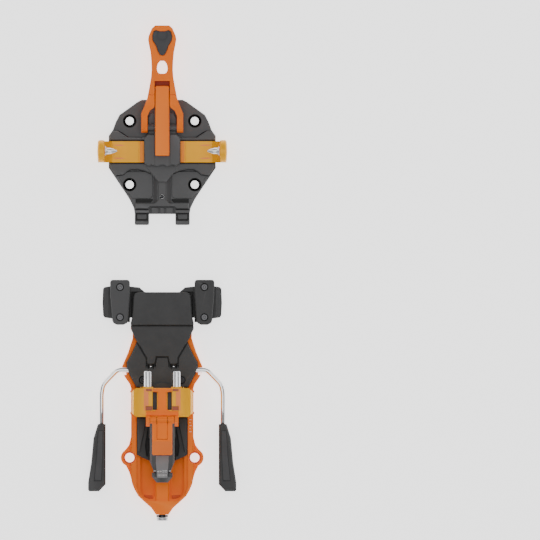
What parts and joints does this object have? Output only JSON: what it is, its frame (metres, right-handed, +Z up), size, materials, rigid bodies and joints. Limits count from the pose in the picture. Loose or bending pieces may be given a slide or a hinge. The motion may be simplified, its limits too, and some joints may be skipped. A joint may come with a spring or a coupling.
{
  "type": "alpine touring ski binding",
  "caption": "Touring ski binding: toe unit with pin wings and lock lever, heel unit with turning pin turret, risers, length slide and ski brake.",
  "frame": {"origin": "middle of the binding on the ski's top sheet", "axes": "+Y towards the ski tip, +X to the right, +Z up from the ski; the YZ plane is the plane of symmetry"},
  "size_m": [0.123, 0.4109, 0.0535],
  "materials": {
    "orange_alloy": "satin orange anodised",
    "gold_alloy": "bright gold anodised",
    "grey_alloy": "dark grey bead blasted",
    "dark_plastic": "fine grained moulded plastic",
    "black_steel": "black oxide",
    "bright_steel": "turned and hardened",
    "chromed_wire": "polished",
    "brass": "machined"
  },
  "bodies": {
    "bases": {"toe_base": "grey_alloy", "toe_block": "grey_alloy", "base_rivet": "black_steel", "lever_axle": "black_steel", "wing_spring_front": "bright_steel", "wing_spring_rear": "bright_steel", "wing_axle_left": "black_steel", "wing_axle_right": "black_steel", "heel_base": "orange_alloy", "brake_housing": "dark_plastic", "brake_spring": "bright_steel", "housing_screw_left": "black_steel", "housing_screw_right": "black_steel", "screw_collar": "black_steel"},
    "wing_left": {"toe_wing_left": "gold_alloy", "toe_pin_left": "bright_steel"},
    "wing_right": {"toe_wing_right": "gold_alloy", "toe_pin_right": "bright_steel"},
    "lever": {"lock_lever": "orange_alloy", "lever_thumb_pad": "dark_plastic", "blade_pin": "bright_steel"},
    "blade": {"lock_blade": "orange_alloy"},
    "brake": {"brake_pedal": "dark_plastic", "spacer_platform": "dark_plastic", "spacer_beam": "dark_plastic", "contact_pad_left": "dark_plastic", "contact_pad_right": "dark_plastic", "pad_screw_1": "black_steel", "pad_screw_2": "black_steel", "pad_screw_3": "black_steel", "pad_screw_4": "black_steel", "brake_wire_left": "chromed_wire", "brake_wire_right": "chromed_wire", "brake_grip_left": "dark_plastic", "brake_grip_right": "dark_plastic"},
    "carriage": {"carriage": "dark_plastic", "lead_nut": "brass", "turret_flange": "dark_plastic", "turret_post": "black_steel"},
    "lead_screw": {"lead_screw": "bright_steel"},
    "turret": {"heel_housing": "gold_alloy", "pin_pivot_left": "black_steel", "pin_pivot_right": "black_steel", "spring_housing": "dark_plastic", "release_spring": "bright_steel", "riser_saddle": "orange_alloy", "riser_axle": "bright_steel"},
    "heel_pin_left": {"heel_pin_left": "bright_steel"},
    "heel_pin_right": {"heel_pin_right": "bright_steel"},
    "release_nut": {"release_nut": "dark_plastic"},
    "release_indicator": {"release_indicator": "dark_plastic"},
    "riser_low": {"riser_flap_low": "orange_alloy"},
    "riser_high": {"riser_flap_high": "orange_alloy"}
  },
  "joints": [
    {"name": "wing_right_hinge", "type": "hinge", "parent": "bases", "child": "wing_right", "pos_m": [0.012, 0.1013, 0.0056], "axis": [0, -1, 0], "range_deg": [0, 14]},
    {"name": "wing_left_hinge", "type": "hinge", "parent": "bases", "child": "wing_left", "pos_m": [-0.012, 0.1013, 0.0056], "axis": [0, 1, 0], "range_deg": [0, 14]},
    {"name": "lever_hinge", "type": "hinge", "parent": "bases", "child": "lever", "pos_m": [0, 0.1207, 0.012], "axis": [1, 0, 0], "range_deg": [0, 50]},
    {"name": "blade_hinge", "type": "hinge", "parent": "lever", "child": "blade", "pos_m": [0, 0.1523, 0.0172], "axis": [1, 0, 0], "range_deg": [-26, 0]},
    {"name": "brake_hinge", "type": "hinge", "parent": "bases", "child": "brake", "pos_m": [0, -0.0804, 0.009], "axis": [1, 0, 0], "range_deg": [0, 40]},
    {"name": "length_slide", "type": "slide", "parent": "bases", "child": "carriage", "axis": [0, -1, 0], "range_m": [0, 0.025]},
    {"name": "lead_screw_turn", "type": "hinge", "parent": "bases", "child": "lead_screw", "pos_m": [0, -0.2027, 0.008], "axis": [0, 1, 0], "range_deg": [0, 4500]},
    {"name": "turret_turn", "type": "hinge", "parent": "carriage", "child": "turret", "pos_m": [0, -0.107, 0.0168], "axis": [0, 0, 1], "range_deg": [-90, 90]},
    {"name": "heel_pin_right_hinge", "type": "hinge", "parent": "turret", "child": "heel_pin_right", "pos_m": [0.012, -0.113, 0.041], "axis": [0, 0, -1], "range_deg": [0, 6], "stiffness_Nm_per_rad": 4},
    {"name": "heel_pin_left_hinge", "type": "hinge", "parent": "turret", "child": "heel_pin_left", "pos_m": [-0.012, -0.113, 0.041], "axis": [0, 0, 1], "range_deg": [0, 6], "stiffness_Nm_per_rad": 4},
    {"name": "release_nut_turn", "type": "hinge", "parent": "turret", "child": "release_nut", "pos_m": [0, -0.167, 0.028], "axis": [0, 1, 0], "range_deg": [0, 1080]},
    {"name": "release_indicator_slide", "type": "slide", "parent": "turret", "child": "release_indicator", "axis": [0, 1, 0], "range_m": [0, 0.0045], "deforming": ["release_spring"]},
    {"name": "riser_low_hinge", "type": "hinge", "parent": "turret", "child": "riser_low", "pos_m": [0, -0.1219, 0.0505], "axis": [-1, 0, 0], "range_deg": [0, 179]},
    {"name": "riser_high_hinge", "type": "hinge", "parent": "turret", "child": "riser_high", "pos_m": [0, -0.1219, 0.0505], "axis": [-1, 0, 0], "range_deg": [0, 179]}
  ],
  "couplings": [
    {"joint": "wing_left_hinge", "follows": "wing_right_hinge", "ratio": 1},
    {"joint": "blade_hinge", "follows": "lever_hinge", "ratio": -0.52},
    {"joint": "lead_screw_turn", "follows": "length_slide", "rad_per_m": 3141.6},
    {"joint": "heel_pin_left_hinge", "follows": "heel_pin_right_hinge", "ratio": 1},
    {"joint": "release_nut_turn", "follows": "release_indicator_slide", "rad_per_m": 4188.8}
  ]
}
